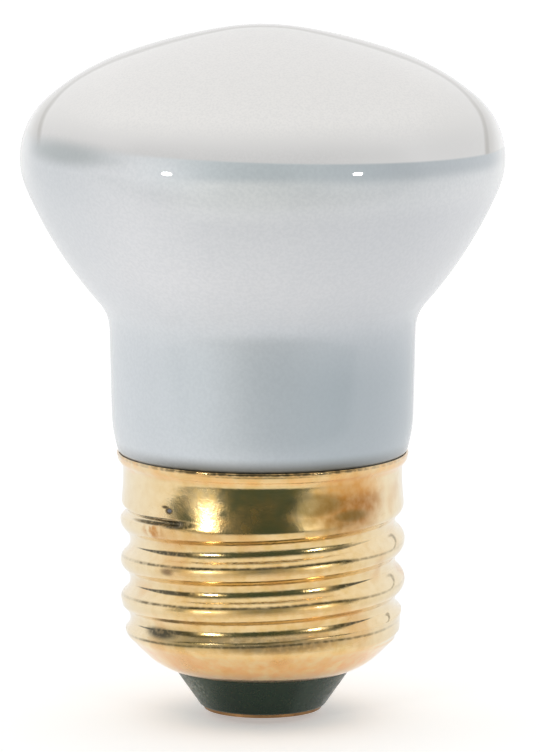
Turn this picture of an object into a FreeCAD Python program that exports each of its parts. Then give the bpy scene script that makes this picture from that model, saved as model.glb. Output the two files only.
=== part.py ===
import FreeCAD, Part
import math
import os
import Sketcher
from FreeCAD import Placement, Rotation, Vector

# A small reflector bulb on a medium screw base, about 64 mm tall.
# The bulb's axis is Z. The origin is the lowest point of the contact, and the
# glass crown is at the top. Angle 0 is +X and angles grow towards +Y.

SIZES = {
    # glass outline, tangent arcs from the crown down to the neck
    "bulbRadius": 22.2,
    "domeHeight": 12.1,
    "bowlHeight": 12.9,
    "crownRatio": 0.5475,
    "crownReachRatio": 0.1653,
    "browRatio": 1.2914,
    "browReachRatio": 0.5788,
    "cheekRatio": 1.066,
    "flankRadius": 39.0,
    "neckLength": 10.45,
    "neckFillet": 1.2,
    "neckSwell": 0.2,
    "footSwell": 0.5,
    "footRise": 3.45,
    "footAboveRim": 0.42,
    "footArc": 13.5,
    "footRound": 0.9,
    "footUndercut": 0.8,
    "footBelowRim": 0.26,
    # glass hidden in the base: sealed neck, flared stem and exhaust tip
    "neckClearance": 0.8,
    "neckShoulder": 1.38,
    "hiddenNeck": 10.88,
    "neckEndRound": 0.8,
    "flareWall": 1.6,
    "stemRadius": 3.5,
    "stemDepth": 7.2,
    "tipRadius": 2.2,
    "tipDrop": 4.0,
    "tipRound": 1.6,
    # rolled brass screw shell
    "shellWall": 0.25,
    "rimFlare": 0.57,
    "rimLand": 0.43,
    "flareDrop": 1.1,
    "skirtInset": 0.26,
    "skirtLength": 2.75,
    "skirtEase": 1.2,
    "skirtAboveThread": 1.1,
    "threadRadius": 13.14,
    "threadDepth": 0.89,
    "pitch": 3.629,
    "threadStart": -400,
    "leadInStart": 720,
    "leadInEnd": 956,
    "leadInPitch": 1.63,
    "crestLand": 0.08,
    "datumBelowTaper": 0.23,
    "taperLength": 2.0,
    "taperStep": 0.438,
    "knuckleRadius": 1.147,
    "knuckleLand": 0.915,
    "curlRadius": 6.26,
    "curlInset": 5.015,
    "mouthReach": 1.86,
    "mouthStep": 0.073,
    # moulded black glass insulator
    "fitGap": 0.05,
    "wellInset": 2.4,
    "wellDepth": 2.7,
    "insulatorRise": 2.45,
    "coneInset": 0.2,
    "coneWidth": 2.34,
    "coneHeight": 3.37,
    "baseBevel": 0.24,
    "baseBevelRise": 0.13,
    "insulatorBase": 0.95,
    # contact eyelet and its solder
    "contactInset": 0.17,
    "contactEdge": 0.31,
    "contactSheet": 0.28,
    "eyeletRadius": 1.0,
    "eyeletDrop": 0.24,
    "barrelHeight": 1.45,
    "solderSpread": 1.3,
    "solderFlat": 0.6,
    "solderDome": 3.6,
    "solderBelowBarrel": 0.8,
    # basing cement between the neck and the skirt
    "cementAboveSkirtFoot": 0.9,
    "cementAboveFlareFoot": 0.05,
    # lead wires
    "leadDiameter": 0.4,
    "leadClearance": 0.18,
    "leadSeatGap": 0.06,
    "leadBend": 1.1,
    "centreLeadTurn": -80,
    "centreLeadSlant": 2.4,
    "sideLeadTurn": 100,
    "sideLeadSag": 1.7,
    "sideLeadStepDrop": 0.4,
    "sideLeadStepRise": 1.0,
    "sideLeadTail": 0.3,
    # room left where a cutting or clearing form runs past the piece
    "overrun": 1.0,
}

# Heights and radii that follow from the sizes, from the contact up and then from the
# thread inwards and outwards, so that each piece keeps its seat when a size changes.
PLACES = {
    "coneFoot": "<insulatorBase> + <baseBevelRise>",
    "coneTop": "<coneFoot> + <coneHeight>",
    "insulatorTop": "<coneTop> + <insulatorRise>",
    "wellFloor": "<insulatorTop> - <wellDepth>",
    "contactFoot": "<insulatorBase> - <contactEdge>",
    "barrelTop": "<insulatorBase> + <barrelHeight>",
    "solderTop": "<barrelTop> - <solderBelowBarrel>",
    "curlHeight": "<coneTop> + <mouthStep> + sqrt(<curlRadius>^2 - <mouthReach>^2)",
    # the cone between knuckle and curl stands at 45 degrees, touching both
    "knuckleHeight": "<curlHeight> + <curlInset> - sqrt(2) * (<curlRadius> - <knuckleRadius>)",
    "taperFoot": "<knuckleHeight> + <knuckleLand>",
    "taperTop": "<taperFoot> + <taperLength>",
    "rootDatum": "<taperTop> - <datumBelowTaper>",
    "leadInFoot": "<rootDatum> + <pitch> * <leadInStart> / 360",
    "leadInTurns": "(<leadInEnd> - <leadInStart>) / 360",
    "leadInTop": "<leadInFoot> + <leadInPitch> * <leadInTurns>",
    "skirtFoot": "<leadInTop> + <skirtAboveThread>",
    "threadTop": "<skirtFoot> - <skirtEase>",
    "flareFoot": "<skirtFoot> + <skirtLength>",
    "rimBand": "<flareFoot> + <flareDrop>",
    "rimTop": "<rimBand> + <rimLand>",
    "cementFoot": "<skirtFoot> + <cementAboveSkirtFoot>",
    "cementTop": "<flareFoot> + <cementAboveFlareFoot>",
    "footHeight": "<rimTop> + <footAboveRim>",
    "footUndersideHeight": "<rimTop> - <footBelowRim>",
    "neckFootHeight": "<footHeight> + <footRise>",
    "neckTop": "<neckFootHeight> + <neckLength>",
    "widestHeight": "<neckTop> + <bowlHeight>",
    "bulbTop": "<widestHeight> + <domeHeight>",
    "innerNeckTop": "<rimTop> - <neckShoulder>",
    "neckEnd": "<rimTop> - <hiddenNeck>",
    "stemTop": "<neckEnd> + <stemDepth>",
    "tipShoulder": "<neckEnd> - <tipDrop>",
    "tipEnd": "<tipShoulder> - <tipRound>",
    "rootRadius": "<threadRadius> - <threadDepth>",
    "skirtRadius": "<threadRadius> - <skirtInset>",
    "rimRadius": "<skirtRadius> + <rimFlare>",
    "taperRadius": "<threadRadius> - <taperStep>",
    "knuckleCentre": "<taperRadius> - <knuckleRadius>",
    "curlCentre": "<knuckleCentre> - <curlInset>",
    "mouthRadius": "<curlCentre> + <mouthReach>",
    "wellRadius": "<mouthRadius> - <wellInset>",
    "coneTopRadius": "<mouthRadius> - <coneInset>",
    "coneFootRadius": "<coneTopRadius> - <coneWidth>",
    "baseRadius": "<coneFootRadius> - <baseBevel>",
    "contactRadius": "<baseRadius> - <contactInset>",
    "solderRadius": "<eyeletRadius> + <solderSpread>",
    "footRadius": "<rimRadius> - <fitGap>",
    "footUnderside": "<footRadius> - <footUndercut>",
    "neckFootRadius": "<footRadius> + <footSwell>",
    "neckRadius": "<neckFootRadius> + <neckSwell>",
    "innerNeckRadius": "<rootRadius> - <shellWall> - <neckClearance>",
    "flareMouth": "<innerNeckRadius> - <flareWall>",
    "leadReach": "(<stemRadius> + <tipRadius>) / 2",
    "sideLeadRise": "<rootRadius> - <shellWall> - <leadDiameter> / 2 - <leadClearance>",
    "sideLeadSeat": "<skirtRadius> - <shellWall> - <leadDiameter> / 2 - <leadSeatGap>",
    "crownRadius": "<crownRatio> * <bulbRadius>^2 / <domeHeight>",
    "crownReach": "<crownReachRatio> * <bulbRadius>",
    "browRadius": "<browRatio> * <bulbRadius>^2 / <domeHeight>",
    "browReach": "<browReachRatio> * <bulbRadius>",
    "cheekRadius": "<cheekRatio> * <domeHeight>^2 / <bulbRadius>",
}

doc = FreeCAD.newDocument("ReflectorBulb")
sheet = doc.addObject("Spreadsheet::Sheet", "Size")
for row, (alias, value) in enumerate(SIZES.items(), start=1):
    sheet.set("A%d" % row, alias)
    sheet.set("B%d" % row, str(value))
    sheet.setAlias("B%d" % row, alias)
doc.recompute()
places = doc.addObject("App::VarSet", "Place")


def named(text):
    """The same formula with every name read from the sheet or from the places."""
    for alias in SIZES:
        text = text.replace("<" + alias + ">", "Size." + alias)
    for place in PLACES:
        text = text.replace("<" + place + ">", "Place." + place)
    return text


for place, formula in PLACES.items():
    places.addProperty("App::PropertyFloat", place, "Places")
    places.setExpression(place, named(formula))
    doc.recompute()


def number(text):
    return float(sheet.evalExpression(named(text)))


def originPlane(body, role):
    return [item for item in body.Origin.OriginFeatures if item.Role == role][0]


def newSketch(body, name, role="XZ_Plane", turn="0", lift="0"):
    """An empty sketch on an origin plane, turned about Z and lifted along it."""
    sketch = body.newObject("Sketcher::SketchObject", name)
    sketch.AttachmentSupport = [(originPlane(body, role), "")]
    sketch.MapMode = "FlatFace"
    upright = role == "XZ_Plane"
    axis = Vector(0, 1, 0) if upright else Vector(0, 0, 1)
    rise = Vector(0, number(lift), 0) if upright else Vector(0, 0, number(lift))
    sketch.AttachmentOffset = Placement(rise, Rotation(axis, number(turn)))
    sketch.setExpression("AttachmentOffset.Base." + ("y" if upright else "z"), named(lift))
    sketch.setExpression("AttachmentOffset.Rotation.Angle", named(turn))
    return sketch


def pin(sketch, geometry, end, x, y):
    """Place one end of a sketch line or arc by two formulas."""
    for kind, axis, formula in (("DistanceX", -2, x), ("DistanceY", -1, y)):
        if formula == "0":
            sketch.addConstraint(Sketcher.Constraint("PointOnObject", geometry, end, axis))
            continue
        index = sketch.addConstraint(
            Sketcher.Constraint(kind, -1, 1, geometry, end, number(formula)))
        sketch.setExpression("Constraints[%d]" % index, named(formula))


def drawRun(sketch, start, finish, bend=None):
    """A line, or an arc of a radius that bulges left (1) or right (-1) of its way."""
    a = Vector(number(start[0]), number(start[1]), 0)
    b = Vector(number(finish[0]), number(finish[1]), 0)
    if bend is None:
        return sketch.addGeometry(Part.LineSegment(a, b), False)
    radius, side = number(bend[0]), bend[1]
    chord = b - a
    sagitta = radius - math.sqrt(radius ** 2 - (chord.Length / 2) ** 2)
    left = Vector(-chord.y, chord.x, 0).normalize()
    geometry = sketch.addGeometry(Part.Arc(a, (a + b) * 0.5 + left * (side * sagitta), b), False)
    index = sketch.addConstraint(Sketcher.Constraint("Radius", geometry, radius))
    sketch.setExpression("Constraints[%d]" % index, named(bend[0]))
    return geometry


def drawOutline(sketch, corners, bends, closed=True):
    """Corners by formulas, joined by lines or by the arcs that bends names."""
    count = len(corners) if closed else len(corners) - 1
    ends = []
    for index in range(count):
        start, finish = corners[index], corners[(index + 1) % len(corners)]
        geometry = drawRun(sketch, start, finish, bends.get(index))
        begin = Vector(number(start[0]), number(start[1]), 0)
        away = [(sketch.getPoint(geometry, end) - begin).Length for end in (1, 2)]
        forward = away[0] < away[1]
        ends.append((geometry, 1 if forward else 2, 2 if forward else 1))
    for index in range(count if closed else count - 1):
        following = ends[(index + 1) % count]
        here = ends[index]
        sketch.addConstraint(
            Sketcher.Constraint("Coincident", here[0], here[2], following[0], following[1]))
    for index, (geometry, first, last) in enumerate(ends):
        pin(sketch, geometry, first, *corners[index])
    if not closed:
        pin(sketch, ends[-1][0], ends[-1][2], *corners[-1])
    return ends


def turned(body, sketch, name):
    """A full revolution of a sketch about the bulb's axis."""
    feature = body.newObject("PartDesign::Revolution", name)
    feature.Profile = sketch
    feature.ReferenceAxis = (sketch, ["V_Axis"])
    feature.Angle = 360
    return feature


def newBody(name, label):
    body = doc.addObject("PartDesign::Body", name)
    body.Label = label
    body.Placement = Placement()
    return body


def turnedBody(name, label, corners, bends):
    body = newBody(name, label)
    sketch = newSketch(body, name + "Outline")
    drawOutline(sketch, corners, bends)
    turned(body, sketch, name + "Turned")
    return body


def polar(centre, radius, angle):
    """The point of a circle at an angle above the outward direction."""
    return ("%s + (%s) * cos(%s)" % (centre[0], radius, angle),
            "%s + (%s) * sin(%s)" % (centre[1], radius, angle))


def crownArcs():
    """The glass from crown to neck: five tangent arcs as (centre, start, finish)."""
    crown, brow = places.crownRadius, places.browRadius
    cheek, flank = places.cheekRadius, SIZES["flankRadius"]
    angle = math.asin(places.crownReach / crown)
    apex = Vector(0, places.bulbTop, 0)
    crownCentre = apex - Vector(0, crown, 0)
    outward = Vector(math.sin(angle), math.cos(angle), 0)
    crownEnd = crownCentre + outward * crown
    browCentre = crownEnd - outward * brow
    angle = math.asin((places.browReach - browCentre.x) / brow)
    outward = Vector(math.sin(angle), math.cos(angle), 0)
    browEnd = browCentre + outward * brow
    cheekCentre = Vector(SIZES["bulbRadius"] - cheek, places.widestHeight, 0)
    # The joining arc touches the brow arc at its end and the cheek circle inside.
    reach = browEnd - cheekCentre
    joining = (reach.dot(reach) - cheek ** 2) / (2 * (reach.dot(outward) - cheek))
    joiningCentre = browEnd - outward * joining
    inward = (cheekCentre - joiningCentre).normalize()
    cheekStart = cheekCentre + inward * cheek
    # The flank arc touches the cheek circle inside and ends at the neck.
    corner = Vector(places.neckRadius, places.neckTop, 0)
    span = corner - cheekCentre
    along = ((flank - cheek) ** 2 - flank ** 2 + span.dot(span)) / (2 * span.Length)
    across = math.sqrt((flank - cheek) ** 2 - along ** 2)
    unit = Vector(span.x, span.y, 0).normalize()
    flankCentre = cheekCentre + unit * along + Vector(unit.y, -unit.x, 0) * across
    if flankCentre.x > cheekCentre.x:
        flankCentre = cheekCentre + unit * along - Vector(unit.y, -unit.x, 0) * across
    cheekEnd = cheekCentre + (cheekCentre - flankCentre).normalize() * cheek
    return [(crownCentre, apex, crownEnd), (browCentre, crownEnd, browEnd),
            (joiningCentre, browEnd, cheekStart), (cheekCentre, cheekStart, cheekEnd),
            (flankCentre, cheekEnd, corner)]


def bindDatum(sketch, kind, arguments, formula):
    index = sketch.addConstraint(Sketcher.Constraint(kind, *arguments, number(formula)))
    sketch.setExpression("Constraints[%d]" % index, named(formula))


def ringDistance(edge, corner):
    """How far an edge is from being the ring through a corner of the outline."""
    return max(abs(edge.BoundBox.ZMax - corner.z), abs(edge.BoundBox.ZMin - corner.z),
               abs(edge.CenterOfMass.z - corner.z), abs(edge.Length - 2 * math.pi * corner.x))


def glassBulb():
    """The sealed envelope in one piece, with the stem's flare and tip in the base."""
    body = newBody("GlassBulb", "glass_bulb")
    sketch = newSketch(body, "GlassOutline")
    arcs = []
    for centre, start, finish in crownArcs():
        radius = (start - centre).Length
        middle = centre + ((start + finish) * 0.5 - centre).normalize() * radius
        arcs.append(sketch.addGeometry(Part.Arc(start, middle, finish), False))
    # Every arc runs the long way round from its lower end, so 2 is the upper end.
    upper, lower = 2, 1
    for first, second in zip(arcs, arcs[1:]):
        sketch.addConstraint(Sketcher.Constraint("Tangent", first, lower, second, upper))
    crown, brow, _, cheek, flank = arcs
    sketch.addConstraint(Sketcher.Constraint("PointOnObject", crown, upper, -2))
    sketch.addConstraint(Sketcher.Constraint("PointOnObject", crown, 3, -2))
    bindDatum(sketch, "DistanceY", (-1, 1, crown, upper), "<bulbTop>")
    bindDatum(sketch, "Radius", (crown,), "<crownRadius>")
    bindDatum(sketch, "DistanceX", (-1, 1, crown, lower), "<crownReach>")
    bindDatum(sketch, "Radius", (brow,), "<browRadius>")
    bindDatum(sketch, "DistanceX", (-1, 1, brow, lower), "<browReach>")
    bindDatum(sketch, "Radius", (cheek,), "<cheekRadius>")
    bindDatum(sketch, "DistanceX", (-1, 1, cheek, 3), "<bulbRadius> - <cheekRadius>")
    bindDatum(sketch, "DistanceY", (-1, 1, cheek, 3), "<widestHeight>")
    bindDatum(sketch, "Radius", (flank,), "<flankRadius>")
    corners = [
        ("<neckRadius>", "<neckTop>"),
        ("<neckFootRadius>", "<neckFootHeight>"),
        ("<footRadius>", "<footHeight>"),
        ("<footUnderside>", "<footUndersideHeight>"),
        ("<innerNeckRadius>", "<innerNeckTop>"),
        ("<innerNeckRadius>", "<neckEnd> + <neckEndRound>"),
        ("<innerNeckRadius> - <neckEndRound>", "<neckEnd>"),
        ("<flareMouth>", "<neckEnd>"),
        ("<stemRadius>", "<stemTop>"),
        ("<tipRadius>", "<stemTop>"),
        ("<tipRadius>", "<tipShoulder>"),
        ("0", "<tipEnd>"),
        ("0", "<bulbTop>"),
    ]
    bends = {
        1: ("<footArc>", 1),
        2: ("<footRound>", 1),
        5: ("<neckEndRound>", 1),
        10: ("(<tipRadius>^2 + (<tipShoulder> - <tipEnd>)^2) / (2 * (<tipShoulder> - <tipEnd>))", 1),
    }
    ends = drawOutline(sketch, corners, bends, closed=False)
    sketch.addConstraint(
        Sketcher.Constraint("Coincident", flank, lower, ends[0][0], ends[0][1]))
    envelope = turned(body, sketch, "GlassTurned")
    doc.recompute()
    corner = Vector(places.neckRadius, 0, places.neckTop)
    ring = sorted(range(len(envelope.Shape.Edges)), key=lambda index: ringDistance(
        envelope.Shape.Edges[index], corner))
    fillet = body.newObject("PartDesign::Fillet", "NeckFillet")
    fillet.Base = (envelope, ["Edge%d" % (ring[0] + 1)])
    fillet.setExpression("Radius", named("<neckFillet>"))
    return body


def easedStep(upper, lower, outwardTop, wall):
    """Two equal arcs between two upright stretches, both set in by the wall."""
    sign = 1 if outwardTop else -1
    drop = "((%s) - (%s))" % (upper[1], lower[1])
    step = "abs((%s) - (%s))" % (upper[0], lower[0])
    arc = "((%s^2 + %s^2) / (4 * %s))" % (drop, step, step)
    share = "((%s - %d * %s) / (2 * %s))" % (arc, sign, wall, arc)
    centre = "((%s) - %d * %s)" % (upper[0], sign, arc)
    middle = ("%s + ((%s) - (%s) + 2 * %d * %s) * %s" % (centre, lower[0], upper[0], sign, arc, share),
              "(%s) - %s * %s" % (upper[1], drop, share))
    return middle, ("%s - %d * %s" % (arc, sign, wall), sign), ("%s + %d * %s" % (arc, sign, wall), -sign)


def shellForm(name, wall, over):
    """The shell's outer form, or its inner one when a wall is taken off it."""
    body = newBody(name, name)
    knuckle = ("<knuckleCentre>", "<knuckleHeight>")
    curl = ("<curlCentre>", "<curlHeight>")
    rim, band = ("<rimRadius>", "<rimBand>"), ("<skirtRadius>", "<flareFoot>")
    skirt, thread = ("<skirtRadius>", "<skirtFoot>"), ("<threadRadius>", "<threadTop>")
    flareMiddle, flareUpper, flareLower = easedStep(rim, band, True, wall)
    easeMiddle, easeUpper, easeLower = easedStep(skirt, thread, False, wall)
    within = "<taperRadius> - " + wall
    mouthDepth = "<curlHeight> - sqrt((<curlRadius> - %s)^2 - (<mouthRadius> - <curlCentre>)^2)" % wall
    corners = [
        ("0", "<rimTop> + " + over),
        ("<rimRadius> - " + wall, "<rimTop> + " + over),
        ("<rimRadius> - " + wall, "<rimBand>"),
        flareMiddle,
        ("<skirtRadius> - " + wall, "<flareFoot>"),
        ("<skirtRadius> - " + wall, "<skirtFoot>"),
        easeMiddle,
        ("<threadRadius> - " + wall, "<threadTop>"),
        ("<threadRadius> - " + wall, "<taperTop>"),
        (within, "<taperFoot>"),
        (within, "<knuckleHeight>"),
        polar(knuckle, "<knuckleRadius> - " + wall, "-45"),
        polar(curl, "<curlRadius> - " + wall, "-45"),
        ("<mouthRadius>", mouthDepth),
        ("<mouthRadius>", "<curlHeight> - <curlRadius> - " + over),
        ("0", "<curlHeight> - <curlRadius> - " + over),
    ]
    bends = {2: flareUpper, 3: flareLower, 5: easeUpper, 6: easeLower,
             10: ("<knuckleRadius> - " + wall, 1), 12: ("<curlRadius> - " + wall, 1)}
    if over == "0":
        corners[14:] = [("0", mouthDepth)]
    sketch = newSketch(body, name + "Outline")
    drawOutline(sketch, corners, bends)
    turned(body, sketch, name + "Turned")
    doc.recompute()
    return body


def grooveOutline(wall, half):
    """The thread's section round its root: tangent knuckle arcs from crest to crest."""
    depth = "(<threadRadius> - <rootRadius>)"
    reach = "(<pitch> / 2)"
    arc = "((%s^2 + %s^2) / (4 * %s))" % (reach, depth, depth)
    rootCentre = "(<rootRadius> + %s)" % arc
    crestCentre = "(<threadRadius> - %s)" % arc
    share = "((%s + %s) / (2 * %s))" % (arc, wall, arc)
    joinX = "%s + (%s - %s) * %s" % (rootCentre, crestCentre, rootCentre, share)
    joinY = "%s * %s" % (reach, share)
    crestX = "%s + sqrt((%s - %s)^2 - <crestLand>^2)" % (crestCentre, arc, wall)
    crestY = "%s - <crestLand>" % reach
    outside = "<threadRadius> + <overrun>"
    root, crest = "%s + %s" % (arc, wall), "%s - %s" % (arc, wall)
    if half:
        corners = [("%s - (%s)" % (rootCentre, root), "0"), (joinX, joinY), (crestX, crestY),
                   (outside, crestY), (outside, "0")]
        return corners, {0: (root, 1), 1: (crest, -1)}
    corners = [(outside, "-(%s)" % crestY), (crestX, "-(%s)" % crestY), (joinX, "-(%s)" % joinY),
               (joinX, joinY), (crestX, crestY), (outside, crestY)]
    return corners, {1: (crest, -1), 2: (root, 1), 3: (crest, -1)}


def rollGroove(body, name, wall, start, lift, turns, pitch):
    """One helical run of the rolled groove, cut upwards from its start."""
    sketch = newSketch(body, name + "Section", turn=start, lift=lift)
    drawOutline(sketch, *grooveOutline(wall, False))
    groove = body.newObject("PartDesign::SubtractiveHelix", name)
    groove.Profile = sketch
    groove.ReferenceAxis = (sketch, ["V_Axis"])
    groove.Mode = 1
    groove.setExpression("Pitch", named(pitch))
    groove.setExpression("Turns", named(turns))
    doc.recompute()


def roundGrooveEnd(body, name, wall, turn, lift):
    """The groove's rounded end: half a turn of its half section about its root line."""
    sketch = newSketch(body, name + "Section", turn=turn, lift=lift)
    drawOutline(sketch, *grooveOutline(wall, True))
    end = body.newObject("PartDesign::Groove", name)
    end.Profile = sketch
    end.ReferenceAxis = (sketch, ["H_Axis"])
    end.Angle = 180
    end.Reversed = True
    doc.recompute()


def rolledForm(name, wall, over):
    """A shell form with its thread: the flat lead-in first, then the main helix."""
    body = shellForm(name, wall, over)
    plain = body.Shape.Volume
    rollGroove(body, name + "LeadIn", wall, "<leadInStart>", "<leadInFoot>",
               "<leadInTurns>", "<leadInPitch>")
    roundGrooveEnd(body, name + "LeadInEnd", wall, "<leadInEnd>", "<leadInTop>")
    rollGroove(body, name + "Thread", wall, "<threadStart>",
               "<rootDatum> + <pitch> * <threadStart> / 360",
               "(<leadInStart> - <threadStart>) / 360", "<pitch>")
    print(name, "groove takes", round(plain - body.Shape.Volume, 1), "mm3")
    return body


def screwShell():
    """The shell as thin rolled sheet: its outer form less its inner form."""
    outer = rolledForm("ShellOutside", "0", "0")
    inner = rolledForm("ShellInside", "<shellWall>", "<overrun>")
    shell = doc.addObject("Part::Cut", "ScrewShell")
    shell.Base = outer
    shell.Tool = inner
    shell.Label = "screw_shell"
    shell.Placement = Placement()
    return shell


def baseInsulator():
    """Black glass moulded into the shell's curled mouth, with a bore for the lead."""
    curl = ("<curlCentre>", "<curlHeight>")
    seat = "<curlRadius> - <shellWall> - <fitGap>"
    start = polar(curl, seat, "-45")
    mouth = "<mouthRadius> - <fitGap>"
    mouthSeat = "<curlHeight> - sqrt((%s)^2 - (%s - <curlCentre>)^2)" % (seat, mouth)
    bore = "<eyeletRadius> + <contactSheet> + <fitGap>"
    corners = [
        ("<wellRadius>", "<insulatorTop>"),
        ("%s + <insulatorTop> - (%s)" % start, "<insulatorTop>"),
        start,
        (mouth, mouthSeat),
        (mouth, "<coneTop>"),
        ("<coneTopRadius>", "<coneTop>"),
        ("<coneFootRadius>", "<coneFoot>"),
        ("<baseRadius>", "<insulatorBase>"),
        (bore, "<insulatorBase>"),
        (bore, "<wellFloor>"),
    ]
    return turnedBody("BaseInsulator", "base_insulator", corners, {2: (seat, 1)})


def contactFace(radius):
    """Height of the contact's lower face, which falls evenly towards its eyelet."""
    slope = "<eyeletDrop> / (<contactRadius> - <eyeletRadius>)"
    return "<contactFoot> - (<contactRadius> - (%s)) * %s" % (radius, slope)


def centreContact():
    """A pressed brass eyelet: shallow disc with a short barrel up the bore."""
    back = "<insulatorBase>"
    barrel = "<eyeletRadius> + <contactSheet>"
    corners = [
        ("<eyeletRadius>", contactFace("<eyeletRadius>")),
        ("<eyeletRadius>", "<barrelTop>"),
        (barrel, "<barrelTop>"),
        (barrel, back),
        ("<contactRadius>", back),
        ("<contactRadius>", "<contactFoot>"),
    ]
    return turnedBody("CentreContact", "centre_contact", corners, {})


def centreSolder():
    """The drop of solder that closes the eyelet and is the bulb's lowest point."""
    corners = [
        ("0", "0"),
        ("0", "<solderTop>"),
        ("<eyeletRadius>", "<solderTop>"),
        ("<eyeletRadius>", contactFace("<eyeletRadius>")),
        ("<solderRadius>", contactFace("<solderRadius>")),
        ("<solderFlat>", "0"),
    ]
    return turnedBody("CentreSolder", "centre_solder", corners, {4: ("<solderDome>", 1)})


def baseCement():
    """A ring of basing cement, with a channel for the side lead."""
    corners = [
        ("<innerNeckRadius> + <fitGap>", "<cementFoot>"),
        ("<innerNeckRadius> + <fitGap>", "<cementTop>"),
        ("<skirtRadius> - <shellWall> - <fitGap>", "<cementTop>"),
        ("<skirtRadius> - <shellWall> - <fitGap>", "<cementFoot>"),
    ]
    body = turnedBody("BaseCement", "base_cement", corners, {})
    doc.recompute()
    before = body.Shape.Volume
    sketch = newSketch(body, "ChannelSection", "XY_Plane", "<sideLeadTurn>", "<cementFoot>")
    middle = Vector(places.sideLeadSeat, 0, 0)
    circle = sketch.addGeometry(Part.Circle(middle, Vector(0, 0, 1), SIZES["leadDiameter"]))
    sketch.addConstraint(Sketcher.Constraint("PointOnObject", circle, 3, -1))
    bindDatum(sketch, "DistanceX", (-1, 1, circle, 3), "<sideLeadSeat>")
    bindDatum(sketch, "Radius", (circle,), "<leadDiameter> / 2 + <fitGap>")
    channel = body.newObject("PartDesign::Pocket", "Channel")
    channel.Profile = sketch
    channel.Reversed = True
    channel.setExpression("Length", named("<cementTop> - <cementFoot>"))
    doc.recompute()
    print("cement channel takes", round(before - body.Shape.Volume, 3), "mm3")
    return body


def leadWire(name, label, turn, points):
    """Round wire along straight runs with bends of one radius."""
    body = newBody(name, label)
    route = newSketch(body, name + "Route", turn=turn)
    ends = drawOutline(route, points, {}, closed=False)
    for index in range(len(ends) - 1):
        here, following = ends[index], ends[index + 1]
        route.fillet(here[0], here[2], number("<leadBend>"), True, False)
    for index, constraint in enumerate(route.Constraints):
        if constraint.Type == "Radius":
            route.setExpression("Constraints[%d]" % index, named("<leadBend>"))
    section = newSketch(body, name + "Section", "XY_Plane", turn, points[0][1])
    middle = Vector(number(points[0][0]), 0, 0)
    circle = section.addGeometry(Part.Circle(middle, Vector(0, 0, 1), SIZES["leadDiameter"]))
    section.addConstraint(Sketcher.Constraint("PointOnObject", circle, 3, -1))
    bindDatum(section, "DistanceX", (-1, 1, circle, 3), points[0][0])
    bindDatum(section, "Radius", (circle,), "<leadDiameter> / 2")
    doc.recompute()
    wire = body.newObject("PartDesign::AdditivePipe", name + "Wire")
    wire.Profile = section
    wire.Spine = (route, ["Edge%d" % (index + 1) for index in range(len(route.Shape.Edges))])
    return body


def leadWires():
    """The two leads from the stem, one to the eyelet and one up beside the neck."""
    centre = leadWire("CentreLead", "centre_lead_wire", "<centreLeadTurn>", [
        ("<leadReach>", "<stemTop>"),
        ("<leadReach>", "<tipEnd> + <fitGap>"),
        ("0", "<tipEnd> - <centreLeadSlant>"),
        ("0", "<solderTop>"),
    ])
    side = leadWire("SideLead", "side_lead_wire", "<sideLeadTurn>", [
        ("<leadReach>", "<stemTop>"),
        ("<leadReach>", "<neckEnd> - <sideLeadSag>"),
        ("<sideLeadRise>", "<neckEnd> - <sideLeadSag>"),
        ("<sideLeadRise>", "<skirtFoot> - <sideLeadStepDrop>"),
        ("<sideLeadSeat>", "<skirtFoot> - <sideLeadStepDrop> + <sideLeadStepRise>"),
        ("<sideLeadSeat>", "<cementTop> - <sideLeadTail>"),
    ])
    return [centre, side]


pieces = [glassBulb(), screwShell(), baseInsulator(), centreContact(), centreSolder(), baseCement()]
pieces += leadWires()
doc.recompute()

for item in doc.Objects:
    if "Invalid" in item.State or "Error" in item.State:
        raise RuntimeError("%s failed: %s" % (item.Name, item.State))
for piece in pieces:
    if piece.Shape.isNull() or not piece.Shape.isValid():
        raise RuntimeError("%s has no valid shape" % piece.Label)

os.makedirs("parts", exist_ok=True)
for piece in pieces:
    piece.Shape.exportStep("parts/%s.step" % piece.Label)
    box = piece.Shape.BoundBox
    print("%s: %d solid, %.1f mm3, z %.2f to %.2f, radius %.2f" % (
        piece.Label, len(piece.Shape.Solids), piece.Shape.Volume, box.ZMin, box.ZMax, box.XMax))
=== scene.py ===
import math

import bpy
import numpy as np
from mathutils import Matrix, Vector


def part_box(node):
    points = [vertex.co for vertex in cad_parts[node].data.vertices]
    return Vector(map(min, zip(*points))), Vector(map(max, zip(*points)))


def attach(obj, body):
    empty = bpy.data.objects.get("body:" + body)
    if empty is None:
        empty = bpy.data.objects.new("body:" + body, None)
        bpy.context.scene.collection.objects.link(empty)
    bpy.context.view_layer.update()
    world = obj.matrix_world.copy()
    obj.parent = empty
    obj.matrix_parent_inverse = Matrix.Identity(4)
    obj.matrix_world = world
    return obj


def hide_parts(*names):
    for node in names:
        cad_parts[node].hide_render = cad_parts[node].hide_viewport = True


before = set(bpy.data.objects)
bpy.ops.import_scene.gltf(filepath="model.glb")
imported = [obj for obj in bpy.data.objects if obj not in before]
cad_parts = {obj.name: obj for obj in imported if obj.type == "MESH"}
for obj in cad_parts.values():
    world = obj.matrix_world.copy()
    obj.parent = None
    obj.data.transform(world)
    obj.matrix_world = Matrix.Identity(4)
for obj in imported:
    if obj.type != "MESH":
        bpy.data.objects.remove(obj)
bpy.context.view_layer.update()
print("frame loaded")

mm = 0.001
slant = math.sqrt(0.5)  # sine and cosine of 45 degrees
bpy.context.scene.view_settings.view_transform = "Standard"


# nodes: fields are named sockets that colours, steps and spots refer to

def linearColour(hexCode):
    # sRGB hex to linear: dark values are divided by 12.92, the others raised to 2.4
    value = np.array([int(hexCode[i:i + 2], 16) for i in (1, 3, 5)]) / 255
    bright = ((value + 0.055) / 1.055) ** 2.4
    return (*np.where(value <= 0.04045, value / 12.92, bright), 1.0)


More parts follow.
